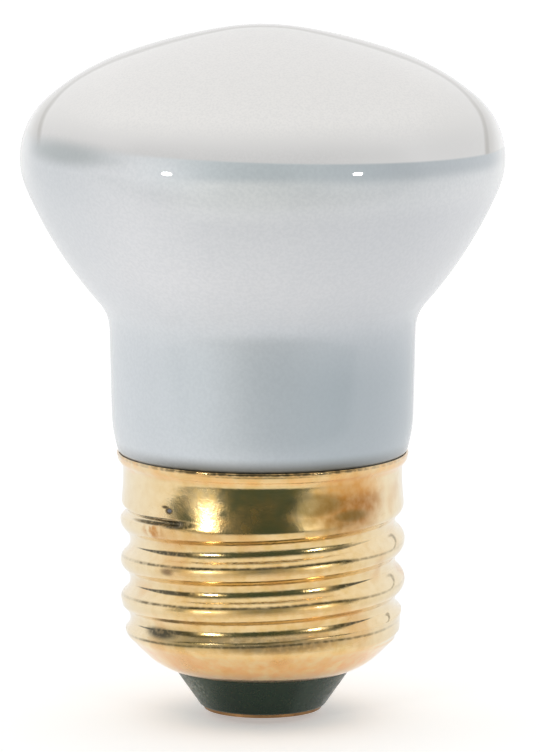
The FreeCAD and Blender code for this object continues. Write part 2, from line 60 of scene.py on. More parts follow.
def addNode(tree, kind, settings=None, output=0):
    # one node: a socket among its settings is linked, a hex colour made linear, the rest set
    made = tree.nodes.new("ShaderNode" + kind)
    for name, value in (settings or {}).items():
        if isinstance(value, bpy.types.NodeSocket):
            tree.links.new(value, made.inputs[name])
        elif isinstance(name, str) and hasattr(made, name):
            setattr(made, name, value)
        else:
            isColour = isinstance(value, str)
            made.inputs[name].default_value = linearColour(value) if isColour else value
    return made.outputs[output] if made.outputs else None


def newMaterial(name):
    # an empty material, with its node tree
    material = bpy.data.materials.new(name)
    material.use_nodes = True
    material.node_tree.nodes.clear()
    return material, material.node_tree


def giveSurface(tree, settings):
    # a Principled surface: even values stand on its own sockets and patterns are linked
    addNode(tree, "OutputMaterial", {"Surface": addNode(tree, "BsdfPrincipled", settings)})


def placeFields(tree, mottles):
    # the place in mm and its parts, and cloudy mottles by grain in mm, detail and stretch
    metres = addNode(tree, "TexCoord", None, "Object")
    place = addNode(tree, "VectorMath", {"operation": "MULTIPLY", 0: metres, 1: (1000, 1000, 1000)})
    right, back, height = addNode(tree, "SeparateXYZ", {0: place}).node.outputs
    fields = {"place": place, "right": right, "back": back, "height": height,
              "aside": addNode(tree, "Math", {"operation": "ABSOLUTE", 0: right})}
    for name, (grain, detail, *stretch) in mottles.items():
        scale = [1 / grain / s for s in stretch or (1, 1, 1)]
        moved = addNode(tree, "Mapping", {"Vector": place, "Scale": scale})
        fields[name] = addNode(tree, "TexNoise", {"Vector": moved, "Scale": 1.0, "Detail": detail})
    return fields


def spot(tree, fields, centre, size, edge=0.5, where="place"):
    # the length of (place - centre) / size, faded from 1 to 0 between 1 - edge and 1 + edge
    moved = addNode(tree, "VectorMath", {"operation": "SUBTRACT", 0: fields[where], 1: centre})
    scaled = addNode(tree, "VectorMath", {"operation": "MULTIPLY", 0: moved, 1: [1 / s for s in size]})
    reach = addNode(tree, "VectorMath", {"operation": "LENGTH", 0: scaled}, "Value")
    return share(tree, {"reach": reach}, ("reach", 1 - edge, 1 + edge, 1.0, 0.0))


def share(tree, fields, *parts):
    # the product of its parts, each a number, a socket, a field's name, a soft step
    # (field, low, high, value at low, value at high) or a spot (centre, half sizes, edge)
    product = None
    for part in parts:
        if isinstance(part, str):
            part = fields[part]
        elif isinstance(part, tuple) and isinstance(part[0], str):
            source, low, high, atLow, atHigh = (*part, 0.0, 1.0)[:5]
            part = addNode(tree, "MapRange", {
                "interpolation_type": "SMOOTHSTEP", "Value": fields[source], "From Min": low,
                "From Max": high, "To Min": atLow, "To Max": atHigh})
        elif isinstance(part, tuple):
            part = spot(tree, fields, *part)
        if product is None:
            product = part
        else:
            product = addNode(tree, "Math", {"operation": "MULTIPLY", 0: product, 1: part})
    return product


def combine(tree, fields, operation, *groups):
    # the products of several groups of parts, joined in turn by one operation
    total, *others = [share(tree, fields, *group) for group in groups]
    for other in others:
        total = addNode(tree, "Math", {"operation": operation, 0: total, 1: other})
    return total


def layWashes(tree, fields, colour, washes):
    # each wash, a colour or field and then the parts of its share, over those before it
    for layer, *parts in washes.values():
        colour = addNode(tree, "Mix", {
            "data_type": "RGBA", 0: share(tree, fields, *parts), 6: colour,
            7: fields.get(layer, layer)}, 2)
    return colour


# shapes: runs of points (radius, height) in mm, carried round Z

def arcRun(centre, start, finish, count):
    # points on the short arc round a centre: the angle goes evenly from start to finish
    first, last = (math.atan2(p[1] - centre[1], p[0] - centre[0]) for p in (start, finish))
    last = first + (last - first + math.pi) % (2 * math.pi) - math.pi
    radius = math.hypot(start[0] - centre[0], start[1] - centre[1])
    angle = np.linspace(first, last, count)
    return np.stack([centre[0] + radius * np.cos(angle), centre[1] + radius * np.sin(angle)], 1)


def bulgedRun(start, finish, radius, count, side=1):
    # an arc of a radius between two points, bulging to the left (1) or right (-1)
    start, finish = np.array(start, float), np.array(finish, float)
    chord = finish - start
    length = np.linalg.norm(chord)
    left = np.array([-chord[1], chord[0]]) / length
    centre = (start + finish) / 2 - left * side * math.sqrt(radius ** 2 - length ** 2 / 4)
    return arcRun(centre, start, finish, count)


def lineRuns(points, counts):
    # evenly spaced points along each straight between two points of a list
    return [np.linspace(start, finish, count) for start, finish, count in zip(points, points[1:], counts)]


def joinRuns(*runs):
    # runs end to end, each without its first point where that repeats the last one
    kept = [runs[0]] + [run[1:] if np.allclose(run[0], before[-1]) else run
                        for before, run in zip(runs, runs[1:])]
    return np.concatenate(kept)


def roundGrid(profile, columns):
    # radius, height and angle over a grid: a profile repeated at even angles round Z
    radius, height = (np.repeat(profile[:, i:i + 1], columns, 1) for i in (0, 1))
    return radius, height, np.arange(columns)[None, :] * 2 * np.pi / columns


def gridPlaces(radius, height, angle):
    # x = r cos a, y = r sin a, z = h
    return np.stack([radius * np.cos(angle), radius * np.sin(angle), height], 2)


def bandFaces(rows, columns, closed=False):
    # quads of a grid that goes round its columns, seen anticlockwise from outside
    last = rows if closed else rows - 1
    row, column = (a.ravel() for a in np.meshgrid(np.arange(last), np.arange(columns), indexing="ij"))
    below, beside = (row + 1) % rows, (column + 1) % columns
    return np.stack([row * columns + column, below * columns + column,
                     below * columns + beside, row * columns + beside], 1)


def addPiece(name, points, faces, material, node):
    # a smooth mesh from points in mm, standing for a CAD node
    mesh = bpy.data.meshes.new(name)
    mesh.from_pydata((np.asarray(points) * mm).tolist(), [], faces)
    mesh.polygons.foreach_set("use_smooth", [True] * len(mesh.polygons))
    mesh.update()
    made = bpy.data.objects.new(name, mesh)
    bpy.context.scene.collection.objects.link(made)
    made.data.materials.append(material)
    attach(made, "root")
    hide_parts(node)
    return made


# glass bulb

glass = {
    "bulbRadius": 22.2, "bulbTop": 64.0, "widestHeight": 51.9,
    "crownRadius": 22.3, "crownReach": 3.67, "browRadius": 52.6, "browReach": 12.85,
    "cheekRadius": 7.03, "flankRadius": 39.0, "neckRadius": 14.1, "neckTop": 37.6,
    "neckBlend": 0.8, "blendRounds": 24, "neckFoot": (13.9, 28.55), "foot": (13.4, 25.1),
    "footUnder": (12.6, 24.42), "footArc": 13.5, "footRound": 0.9,
    # inside the base: the neck's end, the stem's flare and the exhaust tip
    "neckEnd": ((11.2, 23.3), (11.2, 14.6)), "endRound": 0.8,
    "flare": ((10.4, 13.8), (9.6, 13.8), (3.5, 21.0), (2.2, 21.0), (2.2, 9.8)),
    "tip": (0, 8.2), "tipRound": 2.3125,
    # points on each run, the even spacing along the visible ones, and points round the bulb
    "crownPoints": 14, "browPoints": 24, "cheekPoints": 48, "flankPoints": 60, "neckPoints": 60,
    "footPoints": (16, 10), "endPoints": (4, 8), "roundPoints": 5, "flarePoints": (3, 6, 2, 8),
    "tipPoints": 6, "spacing": 0.2, "columns": 288,
    # the film's edge is a level circle tipped by 1.8 degrees, misty at the left, crisp at the right
    "filmHeight": 53.75, "filmTilt": -0.031, "filmMist": ("right", -21, -6, 0.9, 0.12),
    "mottles": {"cloud": (14.0, 3.0), "frostGrain": (0.2, 1.0), "filmGrain": (0.3, 1.0)},
    "frost": "#d8d6d6",
    "frostWashes": {
        # painted light: the frost lighter towards the right
        "right": ("#e4e2e2", ("right", 4, 14)),
        # painted light: the frost lighter towards the top of the dome
        "dome": ("#f7f4f2", ("height", 54, 57.5)),
        # painted shade: the frost darker towards the sides
        "sides": ("#c9c8c6", ("aside", 13, 21, 0.0, 0.4)),
        "grain": ("#e2e0e0", ("frostGrain", 0.35, 0.7, 0.0, 0.35))},
    "film": "#d0d6dc",
    "filmWashes": {
        # painted light: the film lighter from the neck up into the bowl
        "cheek": ("#ebebee", ("height", 33, 43)),
        # painted reflection: a paler band under the film's edge, and a white lift below it, at the left
        # and middle
        "band": ("#dae0e4", ("height", 50, 53), ("right", -14, -2)),
        "underBand": ("#ffffff", ("height", 47.5, 50.5), ("height", 51.6, 52.6, 1.0, 0.0),
                      ("right", -10, -4), ("right", -2, 6, 0.8, 0.5)),
        # painted shade: darker under the film's edge at the right
        "bandRight": ("#b4bcc2", ("height", 51.2, 52.4), ("right", 3, 10, 0.0, 0.55)),
        "cloud": ("#b9c0c8", ("cloud", 0.3, 0.7, 0.0, 0.12)),
        # painted reflection: the left side of the film lit white
        "left": ("#ffffff", ("right", -3.5, 2, 1.0, 0.0), ("height", 37, 41, 0.2, 0.06)),
        # painted shade: the film darker towards the right, most at the lower neck
        "right": ("#c4c7cc", ("right", 0, 13, 0.0, 0.3)),
        "neck": ("#a9b4bb", ("height", 31.5, 38.5, 1.0, 0.0), ("right", 0, 7), 0.5),
        # painted shade: the film darker at the far left
        "farLeft": ("#bcc4c9", ("right", -20, -11, 0.35, 0.0)),
        "grain": ("#a9b0b8", ("filmGrain", 0.3, 0.7, 0.0, 0.1)),
        # painted shadow over the foot above the rim, warm with the brass mirrored in it
        "foot": ("#5a5340", ("height", 24.6, 26.2, 0.95, 0.0), ("aside", 6, 12.5, 1.0, 0.5))},
    # painted light of the clear wall over the frost, seen edge on: a grey line with white outside it,
    # wide at the cheek, where the wall is thick, and narrow at the crown
    "wallStart": ("height", 53, 59.5, 0.62, 0.85),
    "wallLine": (("wall", -0.035, 0.0), ("wall", 0.01, 0.035)),
    "clearLow": ("height", 48, 52.5, 0.0, 0.7),
    "edgeWashes": {
        "mistEnd": ("#98a1a1", ((-17.8, -12.8, 53.65), (5.4, 7.0, 0.95), 0.7), 0.55),
        "wall": ("#aca7a1", "rim", 0.45),
        "outside": ("#ffffff", ("wall", -0.01, 0.3), "clearWall"),
        "line": ("#8e8880", "line", 0.3)},
    "surface": {"Coat Weight": 1.0, "Coat Roughness": 0.03, "Coat IOR": 1.5, "IOR": 1.5},
    "roughness": ("film", 0, 1, 0.75, 0.62), "metallic": 0.55,
}


def beyond(start, through, reach):
    # the point that lies past another on the line from start, by reach
    way = through - start
    return through + way / np.linalg.norm(way) * reach


def softenNear(line, corner, reach, rounds):
    # mean of each point with its neighbours, most at the corner and none past twice the reach
    away = np.linalg.norm(line - corner, axis=1)
    weight = np.clip(1 - away / (2 * reach), 0, 1)[:, None]
    for _ in range(rounds):
        mean = line.copy()
        mean[1:-1] = (line[:-2] + line[2:]) / 2
        line = line + (mean - line) * np.minimum(weight * 2, 1)
    return line


def glassProfile():
    # five tangent arcs from crown to neck, then the neck
    s = glass
    low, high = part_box("glass_bulb")
    radius = min(s["bulbRadius"], *(reach / mm for reach in (high.x, high.y, -low.x, -low.y)))
    top = min(s["bulbTop"], high.z / mm)
    crownCentre = np.array([0, top - s["crownRadius"]])
    tilt = math.asin(s["crownReach"] / s["crownRadius"])
    outward = np.array([math.sin(tilt), math.cos(tilt)])
    crownEnd = crownCentre + outward * s["crownRadius"]
    browCentre = crownEnd - outward * s["browRadius"]
    tilt = math.asin((s["browReach"] - browCentre[0]) / s["browRadius"])
    outward = np.array([math.sin(tilt), math.cos(tilt)])
    browEnd = browCentre + outward * s["browRadius"]
    # the joining arc touches the brow at its end and the cheek from inside
    cheek = s["cheekRadius"]
    cheekCentre = np.array([radius - cheek, s["widestHeight"]])
    reach = browEnd - cheekCentre
    joining = (reach @ reach - cheek ** 2) / (2 * (reach @ outward - cheek))
    joiningCentre = browEnd - outward * joining
    cheekStart = beyond(joiningCentre, cheekCentre, cheek)
    # the flank's arc touches the cheek and ends at the neck's top
    corner = np.array([s["neckRadius"], s["neckTop"]])
    span = corner - cheekCentre
    length = np.linalg.norm(span)
    along = ((s["flankRadius"] - cheek) ** 2 - s["flankRadius"] ** 2 + length ** 2) / (2 * length)
    across = math.sqrt((s["flankRadius"] - cheek) ** 2 - along ** 2)
    unit = span / length
    flankCentre = cheekCentre + unit * along - np.array([-unit[1], unit[0]]) * across
    cheekEnd = beyond(flankCentre, cheekCentre, cheek)
    outline = joinRuns(
        arcRun(crownCentre, (0, top), crownEnd, s["crownPoints"]),
        arcRun(browCentre, crownEnd, browEnd, s["browPoints"]),
        arcRun(joiningCentre, browEnd, cheekStart, s["browPoints"]),
        arcRun(cheekCentre, cheekStart, cheekEnd, s["cheekPoints"]),
        arcRun(flankCentre, cheekEnd, corner, s["flankPoints"]),
        np.linspace(corner, s["neckFoot"], s["neckPoints"]))
    # spaced evenly, with the corner between flank and neck blown soft
    place = np.concatenate([[0], np.cumsum(np.linalg.norm(np.diff(outline, axis=0), axis=1))])
    even = np.arange(0, place[-1], s["spacing"])
    even = np.stack([np.interp(even, place, outline[:, 0]), np.interp(even, place, outline[:, 1])], 1)
    return softenNear(even, corner, s["neckBlend"], s["blendRounds"])


def buildGlass(material):
    # the profile from pole to pole carried round Z, with both poles as single points
    s = glass
    profile = joinRuns(
        glassProfile(),
        bulgedRun(s["neckFoot"], s["foot"], s["footArc"], s["footPoints"][0]),
        bulgedRun(s["foot"], s["footUnder"], s["footRound"], s["footPoints"][1]),
        *lineRuns([s["footUnder"], *s["neckEnd"]], s["endPoints"]),
        bulgedRun(s["neckEnd"][-1], s["flare"][0], s["endRound"], s["roundPoints"]),
        *lineRuns(s["flare"], s["flarePoints"]),
        bulgedRun(s["flare"][-1], s["tip"], s["tipRound"], s["tipPoints"]))
    columns = s["columns"]
    points = gridPlaces(*roundGrid(profile[1:-1], columns)).reshape(-1, 3)
    poles = [[0, 0, profile[0][1]], [0, 0, profile[-1][1]]]
    count = len(points)
    foot = count - columns
    column = np.arange(columns)
    beside = (column + 1) % columns
    crownFan = np.stack([np.full(columns, count), column, beside], 1)
    tipFan = np.stack([np.full(columns, count + 1), foot + beside, foot + column], 1)
    faces = bandFaces(len(profile) - 2, columns).tolist() + crownFan.tolist() + tipFan.tolist()
    return addPiece("glassEnvelope", np.concatenate([points, poles]), faces, material,
                    "glass_bulb")


def glassMaterial():
    # Blown soda-lime glass, clear outside: frosted inside the dome, and below it a vapour
    # film of aluminium inside, which looks like satin metal under a clear gloss.
    s = glass
    material, tree = newMaterial("frostedAndMirroredGlass")
    fields = placeFields(tree, s["mottles"])
    edge = combine(tree, fields, "ADD", ["right", s["filmTilt"]], [s["filmHeight"]])
    fields["above"] = combine(tree, fields, "SUBTRACT", ["height"], [edge])
    fields["mist"] = combine(tree, fields, "DIVIDE", ["above"], [s["filmMist"]])
    fields["film"] = share(tree, fields, ("mist", -1, 1, 1.0, 0.0))
    fields["silver"] = layWashes(tree, fields, s["film"], s["filmWashes"])
    frost = layWashes(tree, fields, s["frost"], s["frostWashes"])
    colour = layWashes(tree, fields, frost, {"film": ("silver", "film")})
    facing = addNode(tree, "LayerWeight", None, "Facing")
    clear = combine(tree, fields, "SUBTRACT", [1.0], ["film"])
    fields["wall"] = combine(tree, fields, "SUBTRACT", [facing], [s["wallStart"]])
    fields["rim"] = share(tree, fields, s["wallLine"][0], clear)
    line = combine(tree, fields, "SUBTRACT", ["rim"], [s["wallLine"][1]])
    fields["line"] = combine(tree, fields, "MAXIMUM", [line], [0.0])
    fields["clearWall"] = combine(tree, fields, "MAXIMUM", [clear], [s["clearLow"]])
    giveSurface(tree, {
        **s["surface"], "Base Color": layWashes(tree, fields, colour, s["edgeWashes"]),
        "Metallic": share(tree, fields, "film", s["metallic"]),
        "Roughness": share(tree, fields, s["roughness"])})
    return material


# brass screw shell

shell = {
    "columns": 320, "wall": 0.25, "threadRadius": 13.14, "rootRadius": 12.25, "halfPitch": 1.8145,
    "knuckleArc": 1.147, "threadStart": -400, "threadEnd": 952, "endReach": 1.2, "cornerStart": 560,
    # the groove's root height, its half widths below and above, and its floor's radius, by
    # the unwrapped angle
    "turn": (-400, 0, 360, 540, 630, 720, 810, 860, 900, 930, 956),
    "root": (6.938, 10.97, 14.60, 16.41, 17.36, 18.28, 18.92, 19.15, 19.27, 19.42, 19.62),
    "below": (1.81, 1.81, 1.81, 1.81, 1.79, 1.70, 1.30, 1.05, 0.80, 0.45, 0.38),
    "above": (1.81, 1.81, 1.92, 2.00, 1.95, 1.85, 1.75, 1.45, 1.05, 0.52, 0.40),
    "floor": (12.25, 12.25, 12.25, 12.25, 12.25, 12.25, 12.33, 12.45, 12.56, 12.64, 12.72),
    # the sheet's outer side from rim to mouth: the lip, its flare to the waist, the skirt that
    # swells as its drop to the power 1.5, the threaded part, and the curled shoulder
    "lip": ((13.45, 24.56), (13.40, 24.40)), "waist": ((12.88, 23.15), (12.88, 22.3)),
    "skirtDrop": 3.1, "skirtSwell": 0.26, "skirtPower": 1.5,
    "threaded": ((13.14, 19.2), (13.14, 11.2), (12.702, 9.2), (12.702, 8.285)),
    "knuckle": (11.555, 8.285), "curl": (6.54, 10.5), "curlRadius": 6.26, "mouth": (8.4, 4.523),
    "lipPoints": 3, "flarePoints": 9, "waistPoints": 8, "skirtPoints": 26,
    "threadedPoints": (68, 17, 8), "knucklePoints": 9, "shoulderPoints": 14, "curlPoints": 22,
    "edgePoints": 5,
    "helixStart": 10.97, "pitch": 3.629, "girth": 81.05,
    "mottles": {"cloud": (5.0, 4.0), "fine": (0.9, 4.0), "wear": (0.45, 3.0), "grit": (0.35, 3.0),
                "shoulder": (1.6, 4.0), "lipCloud": (2.2, 3.0), "relief": (0.5, 3.0),
                "fineRelief": (0.16, 1.0)},
    "threadedPart": (("height", 7.6, 8.2), ("height", 16.4, 17.2, 1.0, 0.0)),
    "tarnish": ("cloud", 0.5, 0.72), "worn": ("wear", 0.3, 0.6, 0.45, 1.0),
    # crests rubbed dull, and a painted dark reflection: a line on their upper side that comes down at the
    # right
    "crestPhase": 0.52, "crestWidth": ("fromCrest", 0.07, 0.13, 1.0, 0.0),
    "crestSides": ("aside", 4.5, 10, 1.0, 0.0),
    "linePhase": ("right", 4, 12, 0.64, 0.555), "lineWidth": ("fromLine", 0.004, 0.054, 1.0, 0.0),
    "lineSides": (("aside", 10.6, 12.2, 1.0, 0.3), ("right", 7, 11.3, 1.0, 0.55)),
    # grime and painted shade along the lower side of the root, in the lead-in's end and under the thread
    "grimeShadePhase": 0.935, "grimeShadeWidth": ("fromGrimeShade", 0.4, 1, 1.0, 0.0),
    "grimeShadeReach": (("right", -11.4, -8, 0.02, 0.085), ("right", 6.5, 10.2, 0.075, 0.012)),
    "grimeShadeEnds": (("right", -11.7, -10.8), ("right", 9.2, 10.3, 1.0, 0.0), ("aside", 4.5, 7),
                  ("height", 17.2, 17.8, 1.0, 0.0), ("height", 8.2, 8.6)),
    "leadInGrimeShade": (((-28.5, 2.62, 0), (2.2, 0.42, 1), 0.3, "unrolled"),
                    ((-31.2, 2.53, 0), (3.5, 0.15, 1), 0.4, "unrolled"),
                    ((-31.2, 3.07, 0), (2.6, 0.06, 1), 0.5, "unrolled")),
    "leadInEnds": (("height", 18.5, 18.8), ("height", 20.6, 21, 1.0, 0.0)),
    "lowGrimeShade": ([((-9.5, -8.2, 9.15), (2.0, 2.0, 0.42), 0.5)],
                 [((0.5, -12.5, 8.95), (8.5, 3.0, 0.75), 0.5), 0.55]),
    "grimeShadeGrit": ("grit", 0.3, 0.55, 0.65, 0.95),
    "heat": ((8.0, -10.3, 21.5), (3.9, 3.9, 2.7), 0.45),
    "heatLow": "#b06a16", "heatHigh": ("#e2a052", ("height", 21.5, 22.9)),
    # painted dark reflection, olive: beside the heat tint, below it at both sides, and under the thread
    "paintedDarkReflection": ([((4.8, -12.0, 21.6), (2.6, 2.6, 1.1), 0.4), 0.62],
             [((5.2, -11.8, 19.9), (2.8, 2.8, 0.9), 0.5), 0.3],
             [((7.9, -10.2, 20.35), (1.9, 1.9, 0.5), 0.5), 0.6],
             [((-7.4, -10.0, 8.95), (4.2, 3.6, 0.72), 0.5), 0.62]),
    "speck": ([((-8.45, -9.8, 20.72), (0.42, 0.42, 0.3), 0.35)],
              [((-8.8, -9.5, 21.02), (0.42, 0.42, 0.14), 0.5)]),
    "colour": "#f4d59c",
    "washes": {
        "depth": ("#eac37a", ("fine", 0.3, 0.8)),
        # painted reflection: paler towards both sides
        "sides": ("#f4ead0", ("aside", 6.5, 12.5, 0.0, 0.6)),
        "tarnish": ("#dca052", "tarnish", 0.45),
        "rubbedCrests": ("#daad68", "rubbed", ("fine", 0.3, 0.7, 0.3, 0.55)),
        # painted dark reflection along the crests
        "crestDarkReflection": ("#574a24", "crestDarkReflection", 0.9),
        "shoulder": ("#e8a050", ("height", 6.2, 8.2, 0.6, 0.0), ("shoulder", 0.35, 0.65, 0.3, 1.0)),
        "lip": ("#f6bd72", ("height", 23.2, 23.8), ("lipCloud", 0.4, 0.6, 0.15, 0.6)),
        "heat": ("heatTint", "heat", ("fine", 0.3, 0.7, 0.6, 0.86)),
        # painted dark reflection of the room, olive
        "paintedDarkReflection": ("#75683a", "paintedDarkReflection"),
        # painted shadow on the rim's top edge, broken by the relief
        "rimTopShadow": ("#5d4f30", ("height", 24.36, 24.5), ("relief", 0.35, 0.6, 0.3, 0.9),
                 ("aside", 6, 12.5, 1.0, 0.3)),
        "stain": ("#6b4a26", ((-8.4, -9.5, 15.1), (0.8, 0.8, 0.35), 0.5), 0.8),
        "patch": ("#cb8c40", ((-9.9, -8.4, 18.6), (1.2, 1.2, 0.6), 0.6), ("fine", 0.35, 0.6)),
        "speck": ("#5f4c2a", "speck"),
        "speckMiddle": ("#84868f", ((-8.4, -9.85, 20.74), (0.22, 0.22, 0.17), 0.5)),
        "scuff0": ("#7d6a38", "scuff0"), "scuff1": ("#7d6a38", "scuff1"),
        "scuff2": ("#7d6a38", "scuff2"),
        # painted shade with grime in the grooves
        "grime": ("#403a20", "grime")},
    # hooked scuffs where the crests turn away at the right, each by right, height and reach,
    # then what they share: middle and depth along Y, soft edge, the inner spot's shift to the
    # left and down, width and strength
    "scuffs": ((11.65, 16.98, 0.66), (11.52, 13.33, 0.62), (11.35, 10.0, 0.36)),
    "scuffBack": (-5.3, 3), "scuffEdge": 0.16, "scuffShift": (0.05, 0.08), "scuffWidth": 0.13,
    "scuffStrength": 0.8,
    "haze": ((5.6, -11.6, 21.0), (2.8, 2.8, 2.2), 0.5), "coat": ("haze", 0, 1, 0.6, 0.1),
    "roughness": ([("fine", 0.2, 0.8, 0.12, 0.2)], ["tarnish", 0.1], ["rubbed", 0.26],
                  ["haze", 0.3], ["grime", 0.3], [((-5.3, -11.7, 22.0), (1.8, 1.8, 1.5), 0.6), 0.14]),
    "fineReliefShare": 0.4, "reliefStrength": 0.4, "reliefHeight": 0.03,
    "surface": {"Metallic": 1.0, "Coat Roughness": 0.12, "Coat IOR": 1.5},
}


def flankShare(reach):
    # 0 at the root and 1 at the crest: two equal arcs that meet half way
    s = shell
    depth = s["threadRadius"] - s["rootRadius"]
    near = np.minimum(reach, 1 - reach) * s["halfPitch"]
    rise = (s["knuckleArc"] - np.sqrt(s["knuckleArc"] ** 2 - near ** 2)) / depth
    return np.where(reach < 0.5, rise, 1 - rise)


def threadLimit(angle, height, plain):
    # the least radius that the rolled groove leaves at each angle and height
    s = shell
    limit = np.full(np.broadcast(angle, height).shape, np.inf)
    for turn in range(-2, 3):
        unwrapped = np.degrees(angle) + 360 * turn
        past = np.clip(unwrapped - s["threadEnd"], 0, None) * np.pi / 180 * s["rootRadius"]
        root, below, above, floor = (np.interp(unwrapped, s["turn"], s[key])
                                     for key in ("root", "below", "above", "floor"))
        away = height - root
        reach = np.hypot(away / np.where(away < 0, below, above), past / s["endReach"])
        top = np.where((away > 0) & (unwrapped > s["cornerStart"]),
                       np.minimum(plain, s["threadRadius"]), s["threadRadius"])
        radius = floor + (top - floor) * flankShare(np.clip(reach, 0, 1))
        inside = (reach < 1) & (unwrapped >= s["threadStart"])
        limit = np.where(inside, np.minimum(limit, radius), limit)
    return limit


def flareRun(upper, lower, count):
    # an S of two equal arcs that turns a drop between two radii
    drop, across = upper[1] - lower[1], abs(upper[0] - lower[0])
    radius = (drop ** 2 + across ** 2) / (4 * across)
    middle = ((upper[0] + lower[0]) / 2, (upper[1] + lower[1]) / 2)
    side = 1 if upper[0] > lower[0] else -1
    return joinRuns(bulgedRun(upper, middle, radius, count, side),
                    bulgedRun(middle, lower, radius, count, -side))


def shellProfile():
    # the sheet's outer side from rim to mouth, before the thread is rolled
    s = shell
    drop = np.linspace(0, 1, s["skirtPoints"])
    radius, height = s["waist"][1]
    skirt = np.stack([radius + s["skirtSwell"] * drop ** s["skirtPower"],
                      height - s["skirtDrop"] * drop], 1)
    across = s["knuckleArc"] * slant
    knuckleEnd = (s["knuckle"][0] + across, s["knuckle"][1] - across)
    across = s["curlRadius"] * slant
    curlStart = (s["curl"][0] + across, s["curl"][1] - across)
    return joinRuns(
        *lineRuns(s["lip"], [s["lipPoints"]]),
        flareRun(s["lip"][1], s["waist"][0], s["flarePoints"]),
        *lineRuns(s["waist"], [s["waistPoints"]]), skirt,
        *lineRuns(s["threaded"], s["threadedPoints"]),
        arcRun(s["knuckle"], s["threaded"][-1], knuckleEnd, s["knucklePoints"]),
        np.linspace(knuckleEnd, curlStart, s["shoulderPoints"]),
        arcRun(s["curl"], curlStart, s["mouth"], s["curlPoints"]))


def foldedEdge(first, second, ahead):
    # half round edge of the sheet: the middle, plus half its width turned by the cosine and
    # half the wall ahead by the sine
    middle, half = (first + second) / 2, (first - second) / 2
    turn = np.linspace(0, np.pi, shell["edgePoints"] + 2)[1:-1, None, None]
    return middle + half * np.cos(turn) + ahead * np.sin(turn) * shell["wall"] / 2


def buildShell(material):
    # the outer side with the thread rolled in, and an inner side one wall in along its normal
    columns = shell["columns"]
    outline = shellProfile()
    plain, height, angle = roundGrid(outline, columns)
    outer = gridPlaces(np.minimum(plain, threadLimit(angle, height, plain)), height, angle)
    along = np.gradient(outer, axis=0)
    around = np.roll(outer, -1, 1) - np.roll(outer, 1, 1)
    normal = np.cross(along, around)
    normal /= np.linalg.norm(normal, axis=2, keepdims=True)
    normal *= np.sign((normal[..., :2] * outer[..., :2]).sum(2, keepdims=True).mean())
    inner = outer - normal * shell["wall"]
    down = along[-1] / np.linalg.norm(along[-1], axis=1, keepdims=True)
    # the inner side needs only every second row, and its last
    kept = np.unique(np.r_[0:len(outline):2, len(outline) - 1])
    rows = np.concatenate([
        foldedEdge(inner[0], outer[0], np.array([0, 0, 1.0])), outer,
        foldedEdge(outer[-1], inner[-1], down), inner[kept][::-1]])
    faces = bandFaces(len(rows), columns, closed=True).tolist()
    return addPiece("rolledScrewShell", rows.reshape(-1, 3), faces, material,
                    "screw_shell")


def threadFields(tree, fields):
    # what follows the thread: its phase is the height less the helix, in pitches, 0 at the
    # root and 0.5 at the crest, and the sheet unrolled is girth by pitch
    s = shell
    turn = addNode(tree, "Math", {"operation": "ARCTAN2", 0: fields["back"], 1: fields["right"]})
    climb = combine(tree, fields, "DIVIDE", [turn], [2 * math.pi])
    above = combine(tree, fields, "SUBTRACT", ["height"], [s["helixStart"]])
    lift = combine(tree, fields, "DIVIDE", [above], [s["pitch"]])
    whole = combine(tree, fields, "SUBTRACT", [lift], [climb])
    phase = combine(tree, fields, "FLOORED_MODULO", [whole], [1.0])
    fields["unrolled"] = addNode(tree, "CombineXYZ", {
        0: share(tree, fields, climb, s["girth"]), 1: share(tree, fields, phase, s["pitch"])})
    fields["threaded"] = share(tree, fields, *s["threadedPart"])
    fields["worn"] = share(tree, fields, s["worn"])
    for name, middle in (("fromCrest", s["crestPhase"]), ("fromLine", s["linePhase"]),
                         ("fromGrimeShade", s["grimeShadePhase"])):
        away = combine(tree, fields, "SUBTRACT", [phase], [middle])
        fields[name] = addNode(tree, "Math", {"operation": "ABSOLUTE", 0: away})
    fields["rubbed"] = share(tree, fields, s["crestWidth"], "threaded", s["crestSides"])
    fields["crestDarkReflection"] = share(tree, fields, s["lineWidth"], *s["lineSides"], "threaded", "worn")
    reach = combine(tree, fields, "MINIMUM", *([step] for step in s["grimeShadeReach"]))
    fields["fromGrimeShade"] = combine(tree, fields, "DIVIDE", ["fromGrimeShade"], [reach])
    inRoot = share(tree, fields, s["grimeShadeWidth"], *s["grimeShadeEnds"])
    leadIn = combine(tree, fields, "MAXIMUM", *([place] for place in s["leadInGrimeShade"]))
    leadIn = share(tree, fields, leadIn, *s["leadInEnds"])
    grime = combine(tree, fields, "MAXIMUM", [inRoot], [leadIn], *s["lowGrimeShade"])
    fields["grime"] = share(tree, fields, grime, s["grimeShadeGrit"])


def scuffField(tree, fields, right, height, reach):
    # a hook: a round spot less a smaller one a little to its lower left, on its right side only
    s = shell
    back, depth = s["scuffBack"]
    aside, down = s["scuffShift"]
    inside = reach - s["scuffWidth"]
    ring = combine(
        tree, fields, "SUBTRACT",
        [((right, back, height), (reach, depth, reach), s["scuffEdge"])],
        [((right - aside, back, height - down), (inside, depth, inside), s["scuffEdge"])])
    ring = combine(tree, fields, "MAXIMUM", [ring], [0.0])
    rightSide = ("right", right - reach / 2, right + reach / 5, 0.0, s["scuffStrength"])
    return share(tree, fields, ring, rightSide, "worn")


